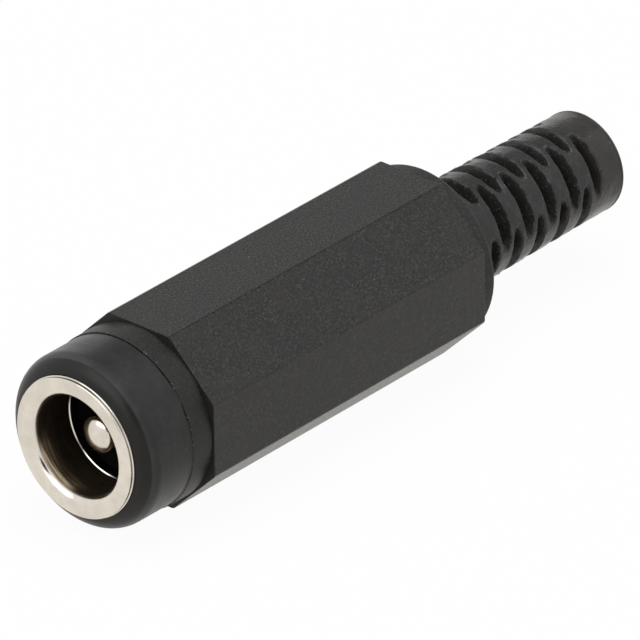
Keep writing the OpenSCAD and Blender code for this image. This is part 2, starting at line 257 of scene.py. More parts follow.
class NoseSettings(bpy.types.PropertyGroup):
    """How the nose's rear rim sits against the cover."""

    rear: length("Rear rim", "From the mouth's face to the nose's rear rim", 3.7)
    seat_radius: length("Seat radius", "Radius of the bush's seat, inside the rim", 4.1)
    rim_rise: length("Rim rise", "How far the nose's rear rim rises where the seam is closed", 0.09)
    seam_gap: length("Seam gap", "Gap that the seam closes at most", 0.018)
    seam_patch: length("Seam patch", "Length over which the seam opens and closes", 0.9)
    closed_side: angle("Closed side", "Side where the seam is most closed, from +Y towards +Z", -150.0)
    closed_mean: number("Closed mean", "How far the seam is closed on the whole, 1 is closed", 0.05)
    closed_swing: number("Closed swing", "How much more it is closed on its closed side", 1.1)
    closed_patches: number("Closed patches", "How much it opens and closes from patch to patch", 0.9)


class BushSettings(bpy.types.PropertyGroup):
    """Turned section of the mouth bush, with its cutting marks."""

    bore_radius: length("Bore radius", "Radius of the plug's bore", 2.85)
    lip_round: length("Lip rounding", "Rounding of the bore's front lip", 0.5)
    land: length("Land", "Length of the plain bore behind the face", 0.7)
    relief: length("Relief", "Depth of the turned relief behind the land", 0.15)
    flange_thickness: length("Flange", "Thickness of the front flange", 0.8)
    flange_round: length("Flange rounding", "Rounding of the flange's outer edge", 0.06)
    rim_at: length("Rim", "From the face to the flange's thin outer rim", 0.2)
    rim_step: length("Rim step", "How far the rim stands out", 0.05)
    wall: length("Wall", "Wall of the tube", 0.5)
    tail: length("Tail", "Length of the narrower rear end of the bore", 0.6)
    tail_step: length("Tail step", "Step inwards to the rear end of the bore", 0.05)
    marks: count("Marks", "Number of fine cutting marks in the relief", 3, 0, 8)
    mark_pitch: length("Mark pitch", "Distance from one cutting mark to the next", 0.22)
    mark_depth: length("Mark depth", "Depth of a cutting mark", 0.0015)
    turn_steps: count("Turn steps", "Faces round the bush", 160, 32, 256)
    smooth_angle: angle("Smooth up to", "Greatest angle that is shaded as one surface", 30.0)


# Modelling helpers


def arc(middle, radius, start, end, steps=8):
    """Points of a round stretch in a half section, its angles in degrees from the radial direction."""
    turns = [math.radians(start + (end - start) * k / steps) for k in range(steps + 1)]
    return [(middle[0] + radius * math.cos(turn), middle[1] + radius * math.sin(turn)) for turn in turns]


def turn_section(name, section, steps):
    """Turns a closed half section of (radius, distance from the mouth's face) about the socket's axis."""
    points = [MOUTH + Vector((along, 0.0, radius)) for radius, along in section]
    bpy.ops.object.select_all(action="DESELECT")
    bpy.ops.mesh.primitive_plane_add(size=MM, location=(0.0, 0.0, 0.0))
    piece = bpy.context.object
    piece.name = name
    bpy.ops.object.mode_set(mode="EDIT")
    bpy.ops.mesh.select_mode(type="VERT")
    bpy.ops.mesh.select_all(action="SELECT")
    bpy.ops.mesh.merge(type="CENTER")
    bpy.ops.transform.translate(value=points[0])
    for start, end in zip(points, points[1:] + points[:1]):
        bpy.ops.mesh.extrude_region_move(TRANSFORM_OT_translate={"value": end - start})
    bpy.ops.mesh.select_all(action="SELECT")
    bpy.ops.mesh.remove_doubles(threshold=WELD)
    bpy.ops.mesh.spin(steps=steps, angle=math.tau, center=MOUTH, axis=(1.0, 0.0, 0.0))
    bpy.ops.mesh.select_all(action="SELECT")
    bpy.ops.mesh.remove_doubles(threshold=WELD)
    bpy.ops.mesh.normals_make_consistent(inside=False)
    bpy.ops.object.mode_set(mode="OBJECT")
    return piece


def copy_of_node(node, name):
    """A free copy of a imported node, with its loose triangles joined up."""
    piece = bpy.data.objects.new(name, frame["nodes"][node].data.copy())
    bpy.context.scene.collection.objects.link(piece)
    bpy.ops.object.select_all(action="DESELECT")
    piece.select_set(True)
    bpy.context.view_layer.objects.active = piece
    bpy.ops.object.mode_set(mode="EDIT")
    bpy.ops.mesh.select_all(action="SELECT")
    bpy.ops.mesh.customdata_custom_splitnormals_clear()
    bpy.ops.mesh.remove_doubles(threshold=WELD)
    bpy.ops.mesh.dissolve_degenerate(threshold=WELD)
    bpy.ops.mesh.dissolve_limited(angle_limit=FLAT_ANGLE)
    bpy.ops.object.mode_set(mode="OBJECT")
    return piece


def polar(vertex):
    """Distance of a vertex behind the mouth's face and from the axis."""
    place = vertex.co - MOUTH
    return place.x, math.hypot(place.y, place.z)


def select_by_place(piece, kind, test):
    """Selects the edges or faces of a piece whose corners pass a test of their place, in edit mode."""
    bpy.ops.object.mode_set(mode="EDIT")
    bpy.ops.mesh.select_mode(type=kind)
    bpy.ops.mesh.select_all(action="DESELECT")
    bpy.ops.object.mode_set(mode="OBJECT")
    mesh = piece.data
    parts = {"EDGE": mesh.edges, "FACE": mesh.polygons}[kind]
    for part in parts:
        part.select = test([polar(mesh.vertices[index]) for index in part.vertices])
    bpy.ops.object.mode_set(mode="EDIT")


def shade_evenly(piece, limit):
    """Smooth shading up to an angle, in which large faces keep their own direction."""
    bpy.ops.object.shade_smooth_by_angle(angle=limit)
    even = piece.modifiers.new("even_shading", "WEIGHTED_NORMAL")
    even.keep_sharp = True
    bpy.ops.object.modifier_apply(modifier=even.name)


def finish_piece(piece, node, material):
    """Gives a finished piece its material and body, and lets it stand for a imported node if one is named."""
    piece.data.materials.clear()
    piece.data.materials.append(material)
    if node:
        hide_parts(node)
    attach(piece, "root")


def set_finish(node, material):
    """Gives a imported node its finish."""
    for slot in frame["nodes"][node].material_slots:
        slot.material = material


# Node helpers

WHITE = (1.0, 1.0, 1.0)
# Middle range of the noise, outside which it hardly goes
NOISE_LOW, NOISE_HIGH = 0.3, 0.7
# Places of the colour mix's own inputs and output among all of the mix node's
MIX_SHARE, MIX_FIRST, MIX_SECOND, MIX_RESULT = 0, 6, 7, 2


def empty_tree(owner, output):
    """The node tree of a material or world, with nothing but its output."""
    owner.use_nodes = True
    tree = owner.node_tree
    tree.nodes.clear()
    return tree, tree.nodes.new(output)


def feed(tree, node, inputs):
    """Links other nodes' results to a node's inputs, or sets plain values on them."""
    for name, value in inputs.items():
        if isinstance(value, bpy.types.NodeSocket):
            tree.links.new(value, node.inputs[name])
        else:
            node.inputs[name].default_value = value


def add_node(tree, kind, inputs, **options):
    """A new node with its options set and its inputs fed."""
    node = tree.nodes.new(kind)
    for name, value in options.items():
        setattr(node, name, value)
    feed(tree, node, inputs)
    return node


def new_material(name):
    """Node material with only its shader and output."""
    material = bpy.data.materials.new(name)
    tree, output = empty_tree(material, "ShaderNodeOutputMaterial")
    shader = tree.nodes.new("ShaderNodeBsdfPrincipled")
    feed(tree, output, {"Surface": shader.outputs["BSDF"]})
    return material, tree, shader


def opaque(colour):
    """A plain colour with full cover, or another node's colour as it is."""
    return colour if isinstance(colour, bpy.types.NodeSocket) else (*colour, 1.0)


def shade(colour, share):
    """A colour made lighter or darker."""
    return tuple(channel * share for channel in colour)


def calculate(tree, kind, *values):
    """Sum, greater value or the like of results and numbers."""
    return add_node(tree, "ShaderNodeMath", dict(enumerate(values)), operation=kind).outputs["Value"]


def product(tree, value, *others):
    """Product of results and numbers."""
    for other in others:
        value = calculate(tree, "MULTIPLY", value, other)
    return value


def vectors(tree, kind, *values):
    """Node that works on vectors."""
    return add_node(tree, "ShaderNodeVectorMath", dict(enumerate(values)), operation=kind)


def stretched(tree, coordinates, scale):
    """Coordinates that are scaled along each axis."""
    return add_node(tree, "ShaderNodeMapping", {"Vector": coordinates, "Scale": scale}).outputs["Vector"]


def in_millimetres(tree):
    """Object coordinates in millimetres."""
    return stretched(tree, tree.nodes.new("ShaderNodeTexCoord").outputs["Object"], (1 / MM, 1 / MM, 1 / MM))


def from_middle(tree, place):
    """Coordinates measured from the middle of the mouth's face, in millimetres."""
    return vectors(tree, "SUBTRACT", place, MOUTH / MM).outputs["Vector"]


def from_mouth(tree, place):
    """Distance behind the mouth's face and distance from the axis, in millimetres."""
    parts = add_node(tree, "ShaderNodeSeparateXYZ", {"Vector": from_middle(tree, place)}).outputs
    across = add_node(tree, "ShaderNodeCombineXYZ", {"Y": parts["Y"], "Z": parts["Z"]}).outputs["Vector"]
    return parts["X"], vectors(tree, "LENGTH", across).outputs["Value"]


def towards(tree, place, direction):
    """How far a place lies from the mouth's middle in a direction, in millimetres."""
    return vectors(tree, "DOT_PRODUCT", from_middle(tree, place), direction).outputs["Value"]


def noise(tree, coordinates, size, detail=2.0):
    """Noise whose blobs are about size across, in millimetres."""
    inputs = {"Vector": coordinates, "Scale": 1 / size, "Detail": detail}
    return add_node(tree, "ShaderNodeTexNoise", inputs).outputs["Fac"]


def fade(tree, value, start, end, low=0.0, high=1.0):
    """Runs from low to high while a value goes from start to end."""
    inputs = {"Value": value, "From Min": start, "From Max": end, "To Min": low, "To Max": high}
    return add_node(tree, "ShaderNodeMapRange", inputs).outputs["Result"]


def spread(tree, value, low, high):
    """Maps noise to the range from low to high."""
    return fade(tree, value, NOISE_LOW, NOISE_HIGH, low, high)


def ramp(tree, value, *stops):
    """Colour ramp through (position, colour) stops."""
    node = add_node(tree, "ShaderNodeValToRGB", {"Fac": value})
    elements = node.color_ramp.elements
    while len(elements) < len(stops):
        elements.new(0.5)
    for element, (position, colour) in zip(elements, stops):
        element.position = position
        element.color = opaque(colour)
    return node.outputs["Color"]


def clouded(tree, value, colour, dark, pale):
    """A colour that noise turns from a darker to a paler shade of itself."""
    return ramp(tree, value, (NOISE_LOW, shade(colour, dark)), (NOISE_HIGH, shade(colour, pale)))


def mix(tree, share, colour, other):
    """Blends a colour towards another one."""
    inputs = {MIX_SHARE: share, MIX_FIRST: opaque(colour), MIX_SECOND: opaque(other)}
    return add_node(tree, "ShaderNodeMix", inputs, data_type="RGBA").outputs[MIX_RESULT]


def layered(tree, tint, *layers):
    """Lays (share, colour) layers over a tint, one after the other."""
    for share, colour in layers:
        tint = mix(tree, share, tint, colour)
    return tint


def bump(tree, height, depth, normal=None):
    """Bump of a given depth in metres, on top of another one if that is given."""
    inputs = {"Strength": 1.0, "Distance": depth, "Height": height}
    if normal is not None:
        inputs["Normal"] = normal
    return add_node(tree, "ShaderNodeBump", inputs).outputs["Normal"]


def specks(tree, coordinates, size, spacing, share):
    """1 inside small scattered specks, 0 elsewhere; share is the part of the cells that hold one."""
    cells = add_node(tree, "ShaderNodeTexVoronoi", {"Vector": coordinates, "Scale": MM / spacing}).outputs
    draw = add_node(tree, "ShaderNodeSeparateColor", {"Color": cells["Color"]}).outputs["Red"]
    inside = calculate(tree, "LESS_THAN", cells["Distance"], size / spacing)
    return product(tree, inside, calculate(tree, "GREATER_THAN", draw, 1 - share))


def attribute(tree, name):
    """A value that is kept on a piece's points."""
    return add_node(tree, "ShaderNodeAttribute", {}, attribute_name=name).outputs["Fac"]


# Finishes

# Where they change behind the mouth's face, as stretches from one value to the other, in millimetres
RING_SHADOW = (0.82, 0.74)
# Where the painted highlight along the nose's fillet starts and ends
CREASE_HIGHLIGHT_FRONT = (0.76, 0.84)
CREASE_HIGHLIGHT_REAR = (1.1, 0.84)
TARNISH_FRONT = (0.22, 0.45)
TARNISH_REAR = (2.96, 2.9)
# How deep the bore's painted lit side reaches
LIT_SIDE_DEPTH = (1.5, 0.6)
COLLAR_REAR = (5.26, 5.2)
SHOULDER_FRONT = (26.75, 26.85)
SHOULDER_REAR = (27.9, 27.8)
RELIEF_FRONT = (27.5, 28.2)
TIP_FRONT = (38.2, 38.7)

# Where they change out from the axis, in millimetres
PIN_EDGE = (0.92, 1.0)
# Out from the axis, where the bore's painted lit side starts
LIT_SIDE_REACH = (2.2, 2.7)
BORE_WALL = (3.3, 3.2)
GRIP_CORNER = (5.475, 5.488)

# Sizes of patches, streaks and the seam's dust in millimetres, and the streaks' squeeze along each axis
GRIP_PATCH = 0.5
GRIP_CLOUD = 1.4
NOSE_GRAIN = 0.25
NOSE_CLOUD = 1.6
SEAM_REACH = 0.06
SEAM_DUST_PATCH = 1.5
STREAK = 1.0
SCUFF_SQUEEZE = (9.0, 0.5, 0.5)
CUT_SQUEEZE = (14.0, 0.6, 0.6)

# Spacing of fine specks, depth of fine bumps, and the coarse dust's size and spacing against the fine dust's
SEAM_DUST_SPACING = 0.12 * MM
CRUMB_SPACING = 0.13 * MM
FLECK_SPACING = 0.28 * MM
NOSE_GRAIN_DEPTH = 0.003 * MM
SCUFF_DEPTH = 0.004 * MM
FIBRE_DEPTH = 0.01 * MM
COARSE_SIZE, COARSE_SPACING = 1.6, 3.1


def dusted(tree, place, along, tint, settings):
    """A tint with pale dust specks of two sizes on it, and closer ones in patches along the seam."""
    fine = specks(tree, place, settings.dust_size, settings.dust_spacing, 0.5)
    coarse = specks(
        tree, place, settings.dust_size * COARSE_SIZE, settings.dust_spacing * COARSE_SPACING, 0.3)
    seam = calculate(tree, "COMPARE", along, settings.seam / MM, SEAM_REACH)
    patch = fade(tree, noise(tree, place, SEAM_DUST_PATCH), 0.5, 0.54)
    lodged = product(tree, seam, patch, specks(tree, place, settings.dust_size, SEAM_DUST_SPACING, 0.35))
    dust = calculate(tree, "MAXIMUM", calculate(tree, "MAXIMUM", fine, coarse), lodged)
    return mix(tree, dust, tint, settings.dust_colour)


def grip_finish(settings):
    """Black moulding: grained grip with rubbed corners, a duller collar painted darker as shade, and a
    smoother, worn bend relief whose slots are painted darker and whose lips carry a painted highlight.
    """
    material, tree, shader = new_material("grip_plastic_grain")
    place = in_millimetres(tree)
    along, radius = from_mouth(tree, place)
    fine = noise(tree, place, settings.grain_size / MM)
    patches = noise(tree, place, GRIP_PATCH)
    broad = noise(tree, place, GRIP_CLOUD)
    # The collar up to the octagon's front face: rougher, and painted darker as shade
    collar = fade(tree, along, *COLLAR_REAR)
    relief = fade(tree, along, *RELIEF_FRONT)
    corner = fade(tree, radius, *GRIP_CORNER)
    depth = attribute(tree, "slot_depth")
    lip = fade(tree, attribute(tree, "edge_wear"), 0.5, 1.0)
    crumbs = specks(tree, place, settings.dust_size, CRUMB_SPACING, 0.5)
    flecks = specks(tree, place, settings.dust_size, FLECK_SPACING, 0.5)
    black = tuple(settings.grip_colour)
    tint = layered(
        tree, ramp(tree, fine, (0.3, shade(black, 0.55)), (0.5, black), (0.72, settings.grain_colour)),
        (fade(tree, patches, 0.4, 0.65, high=0.3), shade(black, 0.8)),
        (fade(tree, broad, 0.5, 0.62, high=0.45), settings.olive_colour),
        (fade(tree, broad, 0.48, 0.36, high=0.45), settings.bluish_colour),
        (product(tree, relief, fade(tree, broad, 0.2, 0.6, low=0.4)), shade(black, 1.1)),
        (product(tree, relief, fade(tree, patches, 0.48, 0.68, high=0.8)), settings.bloom_colour),
        (fade(tree, along, *TIP_FRONT, high=0.6), settings.tip_colour),
        # Slots tinted brown and painted darker with depth: partly painted shade in the recesses
        (fade(tree, depth, 0.1, 0.6, high=0.8), settings.slot_colour),
        # Worn lips painted pale in patches: partly wear, partly a painted highlight on the lips
        (product(tree, lip, fade(tree, fine, 0.4, 0.6), fade(tree, patches, 0.4, 0.6)), settings.wear_and_highlight_colour),
        (product(tree, crumbs, fade(tree, depth, 0.1, 0.25)), settings.crumb_colour),
        (product(tree, relief, flecks, fade(tree, patches, 0.48, 0.56)), settings.dust_colour),
        # Painted shade: the collar and the octagon's front face are painted half as dark, as in the recess
        # before the octagon
        (product(tree, collar, 0.5), shade(black, 0.5)))
    worn = product(tree, relief, spread(tree, broad, 0.0, 0.14))
    worn = calculate(tree, "MAXIMUM", worn, product(tree, corner, 0.2))
    shoulder = product(tree, fade(tree, along, *SHOULDER_FRONT), fade(tree, along, *SHOULDER_REAR, high=0.3))
    rough = calculate(tree, "ADD", spread(tree, fine, 0.28, 0.4), product(tree, collar, 0.15))
    rough = calculate(tree, "ADD", calculate(tree, "SUBTRACT", rough, worn), shoulder)
    height = product(
        tree, fade(tree, fine, 0.0, 1.0, low=-0.5, high=0.5), fade(tree, corner, 0.0, 1.0, low=1.0, high=0.1))
    feed(tree, shader, {
        "Base Color": dusted(tree, place, along, tint, settings),
        "Roughness": rough,
        "Normal": bump(tree, height, settings.grain_depth),
        "Specular IOR Level": settings.grip_gloss})
    return material


def nose_finish(settings):
    """Satin moulding, a little mottled, with faint scuffs round it, painted shade next to the ring and a
    painted highlight along its front fillet.
    """
    material, tree, shader = new_material("nose_plastic_satin")
    place = in_millimetres(tree)
    along = from_mouth(tree, place)[0]
    fine = noise(tree, place, NOSE_GRAIN, detail=3.0)
    broad = noise(tree, place, NOSE_CLOUD, detail=3.0)
    scuffs = noise(tree, stretched(tree, place, SCUFF_SQUEEZE), STREAK, detail=3.0)
    # Painted highlight: a paler band along the nose's front fillet, where a soft reflection lies
    crease_highlight = product(
        tree, fade(tree, along, *CREASE_HIGHLIGHT_FRONT), fade(tree, along, *CREASE_HIGHLIGHT_REAR),
        fade(tree, broad, 0.35, 0.6, low=0.3, high=0.8))
    mottle = product(tree, fade(tree, fine, 0.42, 0.66), fade(tree, broad, 0.42, 0.62, low=0.15, high=0.9))
    tint = layered(
        tree, clouded(tree, broad, settings.nose_colour, 0.8, 1.35),
        (mottle, settings.mottle_colour),
        # Painted shade on the nose next to the ring
        (fade(tree, along, *RING_SHADOW, high=0.8), settings.ring_shadow_colour),
        # Painted highlight along the fillet
        (crease_highlight, shade(settings.nose_colour, 2.2)))
    grain = bump(tree, fine, NOSE_GRAIN_DEPTH)
    feed(tree, shader, {
        "Base Color": dusted(tree, place, along, tint, settings),
        "Roughness": calculate(tree, "ADD", spread(tree, broad, 0.27, 0.36), spread(tree, scuffs, 0.0, 0.1)),
        "Normal": bump(tree, scuffs, SCUFF_DEPTH, grain),
        "Specular IOR Level": settings.nose_gloss})
    return material


def metal_finish(name, colour, pale, cloud_size, smooth, rough):
    """Bright metal with faint clouds, and its tint and gloss for a further finish."""
    material, tree, shader = new_material(name)
    cloud = noise(tree, in_millimetres(tree), cloud_size, detail=3.0)
    tint = clouded(tree, cloud, colour, 0.9, pale)
    gloss = spread(tree, cloud, smooth, rough)
    feed(tree, shader, {"Base Color": tint, "Roughness": gloss, "Metallic": 1.0})
    return material, tree, shader, tint, gloss


def bush_finish(settings):
    """Bright turned plating, tarnished brown in the bore behind the lip on its painted lit side, and painted
    nearly black as shade in the rest of the bore.
    """
    material, tree, shader, tint, gloss = metal_finish(
        "nickel_turned", settings.nickel_colour, pale=1.05, cloud_size=0.9, smooth=0.14, rough=0.2)
    place = in_millimetres(tree)
    along, radius = from_mouth(tree, place)
    inside = product(
        tree, fade(tree, along, *TARNISH_FRONT), fade(tree, radius, *BORE_WALL),
        fade(tree, along, *TARNISH_REAR))
    streaks = noise(tree, stretched(tree, place, CUT_SQUEEZE), STREAK, detail=3.0)
    brown = tuple(settings.tarnish_colour)
    tarnish = ramp(tree, streaks, (0.38, shade(brown, 0.25)), (0.6, brown))
    # Painted light: the side of the bore towards the given direction is shown lit, fading out deeper in
    painted_lit_side = fade(tree, towards(tree, place, settings.painted_lit_side_direction), *LIT_SIDE_REACH)
    painted_lit_side = product(tree, painted_lit_side, fade(tree, along, *LIT_SIDE_DEPTH))
    # Tarnish on the painted lit side, painted shade, nearly black, in the rest of the bore
    deep = mix(tree, fade(tree, painted_lit_side, 0.0, 1.0, low=0.9, high=0.0), tarnish, shade(brown, 0.09))
    # Less metallic in streaks on the painted lit side only, which brightens it as painted light
    lit_side_film = product(tree, inside, painted_lit_side, streaks)
    feed(tree, shader, {
        "Base Color": mix(tree, inside, tint, deep),
        "Roughness": calculate(tree, "ADD", gloss, product(tree, inside, 0.3)),
        "Metallic": fade(tree, lit_side_film, 0.2, 0.5, low=1.0, high=0.2)})
    return material


def pin_finish(settings):
    """Plating of the pin, tarnish brown round its rounded edge, which also stands in for a painted reflection
    of the bore there.
    """
    material, tree, shader, tint = metal_finish(
        "nickel_pin", settings.nickel_colour, pale=1.05, cloud_size=0.5, smooth=0.14, rough=0.22)[:4]
    # Tarnish brown round the pin's edge, also a painted reflection of the brown bore
    edge = fade(tree, from_mouth(tree, in_millimetres(tree))[1], *PIN_EDGE)
    feed(tree, shader, {"Base Color": mix(tree, edge, tint, shade(settings.tarnish_colour, 0.9))})
    return material


def tag_finish(settings):
    """Duller plating of the tags."""
    return metal_finish(
        "nickel_satin", settings.nickel_colour, pale=1.05, cloud_size=0.5, smooth=0.22, rough=0.32)[0]


def spring_finish(settings):
    """Rolled bronze of the spring strip."""
    return metal_finish(
        "spring_bronze_rolled", settings.bronze_colour, pale=1.1, cloud_size=0.4, smooth=0.25, rough=0.35)[0]


def washer_finish(settings):
    """Pressed red-brown fibre."""
    material, tree, shader = new_material("washer_fibre_pressed")
    cloud = noise(tree, in_millimetres(tree), 0.15, detail=4.0)
    feed(tree, shader, {
        "Base Color": clouded(tree, cloud, settings.fibre_colour, 0.75, 1.25),
        "Roughness": spread(tree, cloud, 0.7, 0.85),
        "Normal": bump(tree, cloud, FIBRE_DEPTH)})
    return material


# Stage

CARD_CORNERS = 64


def seen_directly(tree):
    """1 for rays from the camera, from reflections and through glass."""
    path = tree.nodes.new("ShaderNodeLightPath").outputs
    seen = path["Is Camera Ray"]
    for name in ("Is Glossy Ray", "Is Transmission Ray"):
        seen = calculate(tree, "MAXIMUM", seen, path[name])
    return seen


def show_blend(tree, output, share, first, second):
    """Shows two shaders, of which the second has a share."""
    blend = add_node(tree, "ShaderNodeMixShader", {"Fac": share, 1: first, 2: second})
    feed(tree, output, {"Surface": blend.outputs["Shader"]})


def make_sky(settings):
    """Even white surroundings, plain white where they are seen or reflected."""
    world = bpy.data.worlds.new("studio_sky")
    bpy.context.scene.world = world
    tree, output = empty_tree(world, "ShaderNodeOutputWorld")
    light, white = [
        add_node(tree, "ShaderNodeBackground", {"Color": opaque(WHITE), "Strength": strength})
        for strength in (settings.sky_strength, 1.0)]
    show_blend(
        tree, output, seen_directly(tree), light.outputs["Background"], white.outputs["Background"])


def floor_finish(settings):
    """Pale matt floor that shows as near white and still keeps the shadow."""
    material = bpy.data.materials.new("stage_floor")
    tree, output = empty_tree(material, "ShaderNodeOutputMaterial")
    matt = add_node(tree, "ShaderNodeBsdfDiffuse", {"Color": opaque(settings.floor_colour)})
    reflected = tree.nodes.new("ShaderNodeLightPath").outputs["Is Glossy Ray"]
    glow = mix(tree, reflected, WHITE, settings.floor_glow)
    white = add_node(tree, "ShaderNodeEmission", {"Color": glow, "Strength": 1.0})
    share = product(tree, seen_directly(tree), settings.floor_white)
    show_blend(tree, output, share, matt.outputs["BSDF"], white.outputs["Emission"])
    return material


def make_floor(settings):
    """Floor under the resting flat."""
    bpy.ops.object.select_all(action="DESELECT")
    bpy.ops.mesh.primitive_plane_add(size=settings.floor_size, location=(0.0, 0.0, CAD_BOX[0].z))
    floor = bpy.context.object
    floor.name = "stage_floor"
    floor.data.materials.append(floor_finish(settings))


def make_lamp(name, watts, size, place, target):
    """Square soft lamp that looks at a point."""
    lamp = bpy.data.lights.new(name, "AREA")
    lamp.energy = watts
    lamp.size = size
    obj = bpy.data.objects.new(name, lamp)
    bpy.context.scene.collection.objects.link(obj)
    obj.location = place
    obj.rotation_euler = (target - place).to_track_quat("-Z", "Y").to_euler()
    return obj


def make_card(name, place, target, half_angle, brightness):
    """Round card that only the gloss sees, as the darker sides of a studio are seen."""
    away = place - target
    bpy.ops.object.select_all(action="DESELECT")
    bpy.ops.mesh.primitive_circle_add(
        vertices=CARD_CORNERS, radius=away.length * math.tan(half_angle), fill_type="NGON",
        location=place, rotation=away.to_track_quat("Z", "Y").to_euler())
    card = bpy.context.object
    card.name = name
    for kind in ("camera", "diffuse", "shadow", "transmission", "volume_scatter"):
        setattr(card, "visible_" + kind, False)
    material = bpy.data.materials.new(name)
    tree, output = empty_tree(material, "ShaderNodeOutputMaterial")
    glow = add_node(tree, "ShaderNodeEmission", {"Strength": brightness})
    feed(tree, output, {"Surface": glow.outputs["Emission"]})
    card.data.materials.append(material)


def make_camera(view):
    """Camera at the picture's view: the lens axis runs through the middle of the picture."""
    back = Vector((
        math.cos(view.elevation) * math.sin(view.azimuth),
        -math.cos(view.elevation) * math.cos(view.azimuth),
        math.sin(view.elevation)))
    level = Vector((math.cos(view.azimuth), math.sin(view.azimuth), 0.0))
    upright = back.cross(level)
    right = level * math.cos(view.roll) + upright * math.sin(view.roll)
    up = upright * math.cos(view.roll) - level * math.sin(view.roll)
    half = view.picture_side / 2
    metres_per_pixel = MM / view.pixels_per_mm
    aside = (view.mouth_pixel[0] - half) * metres_per_pixel
    above = (half - view.mouth_pixel[1]) * metres_per_pixel
    eye = MOUTH + back * view.distance - right * aside - up * above
    data = bpy.data.cameras.new("photo_camera")
    data.lens = data.sensor_width * view.distance / (metres_per_pixel * view.picture_side)
    data.dof.use_dof = False
    camera = bpy.data.objects.new("photo_camera", data)
    turn = Matrix((right, up, back)).transposed()
    camera.matrix_world = Matrix.Translation(eye) @ turn.to_4x4()
    bpy.context.scene.collection.objects.link(camera)
    bpy.context.scene.camera = camera
    return camera


class SOCKET_OT_stage(bpy.types.Operator):
    """Floor, sky, lamps, cards and camera"""

    bl_idname = "socket.stage"
    bl_label = "Stage"

    def execute(self, context):
        scene = context.scene
        scene.view_settings.view_transform = "Standard"
        stage = scene.socket_stage
        make_sky(stage)
        make_floor(stage)
        middle = (CAD_BOX[0] + CAD_BOX[1]) / 2
        key_place, top_place, flag_place = [
            middle + Vector(direction).normalized() * stage.lamp_distance
            for direction in (stage.key_direction, stage.top_direction, stage.flag_direction)]
        make_lamp("key_lamp", stage.key_power, stage.key_size, key_place, middle)
        top = make_lamp("top_lamp", stage.top_power, stage.top_size, top_place, middle)
        top.visible_glossy = False
        camera = make_camera(scene.socket_view)
        make_card("stage_card", camera.location, middle, stage.card_angle, 0.0)
        make_card("stage_flag", flag_place, middle, stage.flag_angle, stage.flag_shade)
        return {"FINISHED"}


# Grip cover


def take_off_relief(piece, root, root_radius):
    """Takes the bend relief off a copy of the cover and closes the cover behind its inner room."""
    select_by_place(piece, "FACE", lambda corners: any(
        along > root + WELD and radius < root_radius + WELD for along, radius in corners))
    bpy.ops.mesh.delete(type="FACE")
    bpy.ops.mesh.select_mode(type="EDGE")
    bpy.ops.mesh.select_all(action="DESELECT")
    bpy.ops.mesh.select_non_manifold()
    bpy.ops.mesh.bridge_edge_loops()
    bpy.ops.object.mode_set(mode="OBJECT")


class SOCKET_OT_grip_cover(bpy.types.Operator):
    """Octagonal screw-on cover with softened ends, without its bend relief"""

    bl_idname = "socket.grip_cover"
    bl_label = "Grip cover"

    def execute(self, context):
        cover = context.scene.socket_cover
        relief = context.scene.socket_relief
        material = grip_finish(context.scene.socket_finish)
        set_finish("grip_cover", material)
        piece = copy_of_node("grip_cover", "grip_moulding")
        take_off_relief(piece, relief.root, relief.root_radius)
        rim = (CAD_BOX[1].y - CAD_BOX[0].y) / 2 - cover.edge_round
        for end in (cover.grip_front, cover.grip_rear):
            select_by_place(piece, "EDGE", lambda corners: all(
                abs(along - end) < WELD and radius > rim for along, radius in corners))
            bpy.ops.mesh.bevel(
                offset=cover.edge_round, segments=cover.edge_steps, affect="EDGES", clamp_overlap=False)
            bpy.ops.object.mode_set(mode="OBJECT")
        shade_evenly(piece, cover.smooth_angle)
        finish_piece(piece, "grip_cover", material)
        return {"FINISHED"}


# Bend relief

# A place this many slot reaches away is clear of the slot
CLEAR_OF_SLOT = 2.0


def relief_section(relief, bore, start, end):
    """Closed half section of the relief before its slots, with its outer line in short steps."""
    outer_end = end - relief.tip_round
    steps = relief.steps_along
    section = [(bore, start), (relief.root_radius, relief.root)]
    for k in range(1, steps):
        share = k / steps
        radius = relief.root_radius + (relief.tip_radius - relief.root_radius) * share
        section.append((radius, relief.root + (outer_end - relief.root) * share))
    section += arc((relief.tip_radius - relief.tip_round, outer_end), relief.tip_round, 0, 90)
    section += [(bore + relief.entry_edge, end), (bore, end - relief.entry_edge)]
    return section


def soft_least(first, second, softness):
    """The lesser of two values, rounded off where they are about equal, and how far it is rounded off."""
    share = min(max(0.5 + 0.5 * (second - first) / softness, 0.0), 1.0)
    rounding = share * (1.0 - share)
    return second + (first - second) * share - softness * rounding, 4.0 * rounding


def slotted_radius(relief, along, turn, radius, ragged):
    """Radius of the relief's outside where its slots are cut and worn, and how worn it is there."""
    worn = 0.0
    plain = radius
    step = math.tau / relief.slots_in_row
    row_place = (along - relief.root - relief.slot_lead) / relief.slot_pitch
    for row in (math.floor(row_place), math.floor(row_place) + 1):
        if 0 <= row < relief.rows:
            middle = math.pi - relief.slot_turn + (row % 2) * step / 2
            aside = (turn - middle + step / 2) % step - step / 2
            off_floor = max(abs(row_place - row) * relief.slot_pitch - relief.slot_floor_width / 2, 0.0)
            shallow = min(abs(aside) / relief.slot_reach, CLEAR_OF_SLOT) ** relief.slot_fullness
            level = relief.slot_floor + (plain - relief.slot_floor) * shallow
            level += off_floor / math.tan(relief.slot_slope) + ragged
            radius, rounding = soft_least(radius, level, relief.wear)
            worn = max(worn, rounding)
    return radius, worn


def dent_depth(relief, place):
    """Depth of the soft moulding's dents at a place."""
    broad = 1.0 - space_noise.noise(place / relief.dent_size)
    fine = 1.0 - space_noise.noise(place / relief.fine_dent_size)
    return (broad + relief.fine_dents * fine) * relief.unevenness / 2


